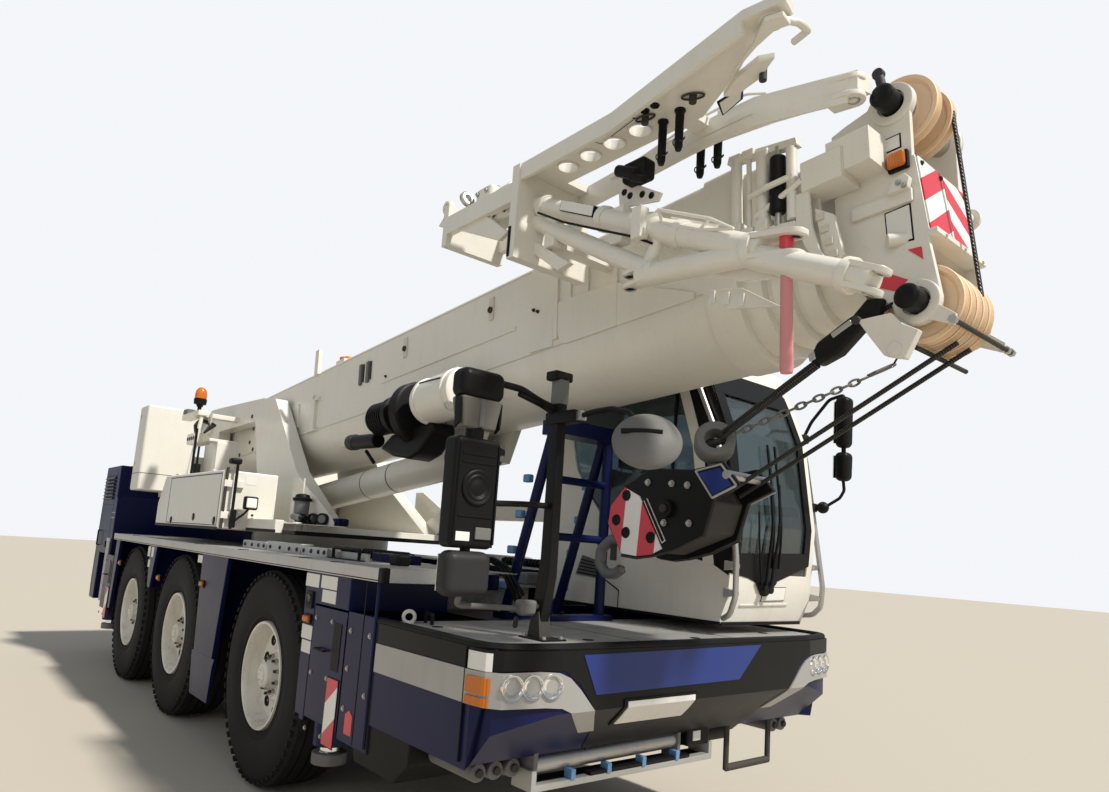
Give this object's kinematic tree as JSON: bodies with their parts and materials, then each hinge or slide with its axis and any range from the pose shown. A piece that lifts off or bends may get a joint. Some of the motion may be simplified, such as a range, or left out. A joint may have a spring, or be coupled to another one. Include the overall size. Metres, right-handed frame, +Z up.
{
  "type": "mobile crane",
  "caption": "Three-axle compact mobile crane: low navy carrier with outriggers, slewing white superstructure, telescopic boom with folded jib, liftable cab.",
  "frame": {"origin": "on the ground under the middle of the whole crane, as it stands ready for the road", "axes": "+X forward, +Y to the crane's left, +Z up"},
  "size_m": [10.1395, 2.9, 3.7066],
  "materials": {
    "white_paint": "satin",
    "navy_paint": "gloss",
    "black_steel": "satin",
    "black_paint": "satin",
    "engine_iron": null,
    "deck_plate": null,
    "tyre": null,
    "rim_paint": "satin",
    "rod_chrome": null,
    "cab_glass": null,
    "seat_fabric": null,
    "black_plastic": null,
    "sheave_nylon": null,
    "winch_steel": null
  },
  "bodies": {
    "carrier": {"chassis_frame": "black_steel", "slew_ring": "black_steel", "deck_left": "navy_paint", "deck_right": "navy_paint", "centre_deck": "deck_plate", "front_module": "navy_paint", "rear_housing": "navy_paint", "engine_block": "engine_iron", "boom_rest": "navy_paint", "mirror_post": "black_plastic", "front_steps": "black_steel", "axle_1": "black_steel", "axle_2": "black_steel", "axle_3": "black_steel"},
    "knuckle_1_left": {"knuckle_1_left": "black_steel"},
    "knuckle_1_right": {"knuckle_1_right": "black_steel"},
    "knuckle_3_left": {"knuckle_3_left": "black_steel"},
    "knuckle_3_right": {"knuckle_3_right": "black_steel"},
    "wheel_1_left": {"tyre_1_left": "tyre", "rim_1_left": "rim_paint"},
    "wheel_1_right": {"tyre_1_right": "tyre", "rim_1_right": "rim_paint"},
    "wheel_2_left": {"tyre_2_left": "tyre", "rim_2_left": "rim_paint"},
    "wheel_2_right": {"tyre_2_right": "tyre", "rim_2_right": "rim_paint"},
    "wheel_3_left": {"tyre_3_left": "tyre", "rim_3_left": "rim_paint"},
    "wheel_3_right": {"tyre_3_right": "tyre", "rim_3_right": "rim_paint"},
    "beam_front_left": {"outrigger_beam_front_left": "navy_paint"},
    "jack_front_left": {"jack_front_left": "rod_chrome"},
    "beam_front_right": {"outrigger_beam_front_right": "navy_paint"},
    "jack_front_right": {"jack_front_right": "rod_chrome"},
    "beam_rear_left": {"outrigger_beam_rear_left": "navy_paint"},
    "jack_rear_left": {"jack_rear_left": "rod_chrome"},
    "beam_rear_right": {"outrigger_beam_rear_right": "navy_paint"},
    "jack_rear_right": {"jack_rear_right": "rod_chrome"},
    "superstructure": {"turntable_frame": "white_paint", "consoles": "white_paint", "counterweight": "white_paint"},
    "winch": {"winch_drum": "winch_steel"},
    "boom": {"boom_base": "white_paint", "jib": "white_paint", "side_unit": "black_plastic"},
    "luff_barrel": {"luff_barrel": "white_paint"},
    "luff_rod": {"luff_rod": "rod_chrome"},
    "section_2": {"boom_section_2": "white_paint"},
    "section_3": {"boom_section_3": "white_paint"},
    "section_4": {"boom_section_4": "white_paint"},
    "head": {"boom_head": "white_paint", "head_sheaves": "sheave_nylon", "hook_block": "black_paint"},
    "cab_arm": {"cab_arm": "white_paint"},
    "cab": {"cab_shell": "white_paint", "cab_glass": "cab_glass", "cab_seat": "seat_fabric", "cab_mirrors": "black_plastic"},
    "cab_door": {"cab_door": "white_paint", "door_glass": "cab_glass"}
  },
  "joints": [
    {"name": "steer_1_left", "type": "hinge", "parent": "carrier", "child": "knuckle_1_left", "pos_m": [1.07, 0.77, 0.683], "axis": [0, 0, 1], "range_deg": [-28, 28]},
    {"name": "steer_1_right", "type": "hinge", "parent": "carrier", "child": "knuckle_1_right", "pos_m": [1.07, -0.77, 0.683], "axis": [0, 0, 1], "range_deg": [-28.01, 28.01]},
    {"name": "steer_3_left", "type": "hinge", "parent": "carrier", "child": "knuckle_3_left", "pos_m": [-2.845, 0.77, 0.683], "axis": [0, 0, 1], "range_deg": [-16.81, 16.81]},
    {"name": "steer_3_right", "type": "hinge", "parent": "carrier", "child": "knuckle_3_right", "pos_m": [-2.845, -0.77, 0.683], "axis": [0, 0, 1], "range_deg": [-16.81, 16.81]},
    {"name": "spin_1_left", "type": "hinge", "parent": "knuckle_1_left", "child": "wheel_1_left", "pos_m": [1.07, 1.048, 0.683], "axis": [0, 1, 0], "continuous": true},
    {"name": "spin_1_right", "type": "hinge", "parent": "knuckle_1_right", "child": "wheel_1_right", "pos_m": [1.07, -1.048, 0.683], "axis": [0, 1, 0], "continuous": true},
    {"name": "spin_2_left", "type": "hinge", "parent": "carrier", "child": "wheel_2_left", "pos_m": [-1.088, 1.048, 0.683], "axis": [0, 1, 0], "continuous": true},
    {"name": "spin_2_right", "type": "hinge", "parent": "carrier", "child": "wheel_2_right", "pos_m": [-1.088, -1.048, 0.683], "axis": [0, 1, 0], "continuous": true},
    {"name": "spin_3_left", "type": "hinge", "parent": "knuckle_3_left", "child": "wheel_3_left", "pos_m": [-2.845, 1.048, 0.683], "axis": [0, 1, 0], "continuous": true},
    {"name": "spin_3_right", "type": "hinge", "parent": "knuckle_3_right", "child": "wheel_3_right", "pos_m": [-2.845, -1.048, 0.683], "axis": [0, 1, 0], "continuous": true},
    {"name": "beam_out_front_left", "type": "slide", "parent": "carrier", "child": "beam_front_left", "axis": [0, 1, 0], "range_m": [0, 1.6]},
    {"name": "jack_down_front_left", "type": "slide", "parent": "beam_front_left", "child": "jack_front_left", "axis": [0, 0, -1], "range_m": [0, 0.42]},
    {"name": "beam_out_front_right", "type": "slide", "parent": "carrier", "child": "beam_front_right", "axis": [0, -1, 0], "range_m": [0, 1.6]},
    {"name": "jack_down_front_right", "type": "slide", "parent": "beam_front_right", "child": "jack_front_right", "axis": [0, 0, -1], "range_m": [0, 0.42]},
    {"name": "beam_out_rear_left", "type": "slide", "parent": "carrier", "child": "beam_rear_left", "axis": [0, 1, 0], "range_m": [0, 1.6]},
    {"name": "jack_down_rear_left", "type": "slide", "parent": "beam_rear_left", "child": "jack_rear_left", "axis": [0, 0, -1], "range_m": [0, 0.42]},
    {"name": "beam_out_rear_right", "type": "slide", "parent": "carrier", "child": "beam_rear_right", "axis": [0, -1, 0], "range_m": [0, 1.6]},
    {"name": "jack_down_rear_right", "type": "slide", "parent": "beam_rear_right", "child": "jack_rear_right", "axis": [0, 0, -1], "range_m": [0, 0.42]},
    {"name": "slew", "type": "hinge", "parent": "carrier", "child": "superstructure", "pos_m": [-1.03, 0, 1.495], "axis": [0, 0, 1], "range_deg": [0, 125]},
    {"name": "winch_turn", "type": "hinge", "parent": "superstructure", "child": "winch", "pos_m": [-2.71, 0, 1.89], "axis": [0, 1, 0], "continuous": true},
    {"name": "luff", "type": "hinge", "parent": "superstructure", "child": "boom", "pos_m": [-3.38, 0, 2.78], "axis": [0, -1, 0], "range_deg": [0, 78]},
    {"name": "luff_barrel_tilt", "type": "hinge", "parent": "superstructure", "child": "luff_barrel", "pos_m": [-1.63, 0, 1.92], "axis": [0, -1, 0], "range_deg": [0, 85.91]},
    {"name": "luff_rod_out", "type": "slide", "parent": "luff_barrel", "child": "luff_rod", "axis": [0.994, 0, 0.1093], "range_m": [0, 2.3813]},
    {"name": "extend_section_2", "type": "slide", "parent": "boom", "child": "section_2", "axis": [0.9976, 0, 0.0698], "range_m": [0, 6.6]},
    {"name": "extend_section_3", "type": "slide", "parent": "section_2", "child": "section_3", "axis": [0.9976, 0, 0.0698], "range_m": [0, 6.601]},
    {"name": "extend_section_4", "type": "slide", "parent": "section_3", "child": "section_4", "axis": [0.9976, 0, 0.0698], "range_m": [0, 6.601]},
    {"name": "extend_head", "type": "slide", "parent": "section_4", "child": "head", "axis": [0.9976, 0, 0.0698], "range_m": [0, 6.601]},
    {"name": "cab_lift", "type": "hinge", "parent": "superstructure", "child": "cab_arm", "pos_m": [0.51, 0.6, 1.89], "axis": [0, -1, 0], "range_deg": [0, 45]},
    {"name": "cab_level", "type": "hinge", "parent": "cab_arm", "child": "cab", "pos_m": [1.9, 0.6, 1.89], "axis": [0, 1, 0], "range_deg": [0, 45.05]},
    {"name": "cab_door_swing", "type": "hinge", "parent": "cab", "child": "cab_door", "pos_m": [2.055, 1.2803, 2], "axis": [0, 0, 1], "range_deg": [0, 80]}
  ],
  "couplings": [
    {"joint": "steer_1_right", "follows": "steer_1_left", "ratio": 1},
    {"joint": "steer_3_left", "follows": "steer_1_left", "ratio": -0.6},
    {"joint": "steer_3_right", "follows": "steer_1_left", "ratio": -0.6},
    {"joint": "luff_barrel_tilt", "follows": "luff", "ratio": 1.1008},
    {"joint": "luff_rod_out", "follows": "luff", "m_per_rad": 1.7485},
    {"joint": "extend_section_3", "follows": "extend_section_2", "ratio": 1},
    {"joint": "extend_section_4", "follows": "extend_section_2", "ratio": 1},
    {"joint": "extend_head", "follows": "extend_section_2", "ratio": 1},
    {"joint": "cab_level", "follows": "cab_lift", "ratio": 1}
  ]
}
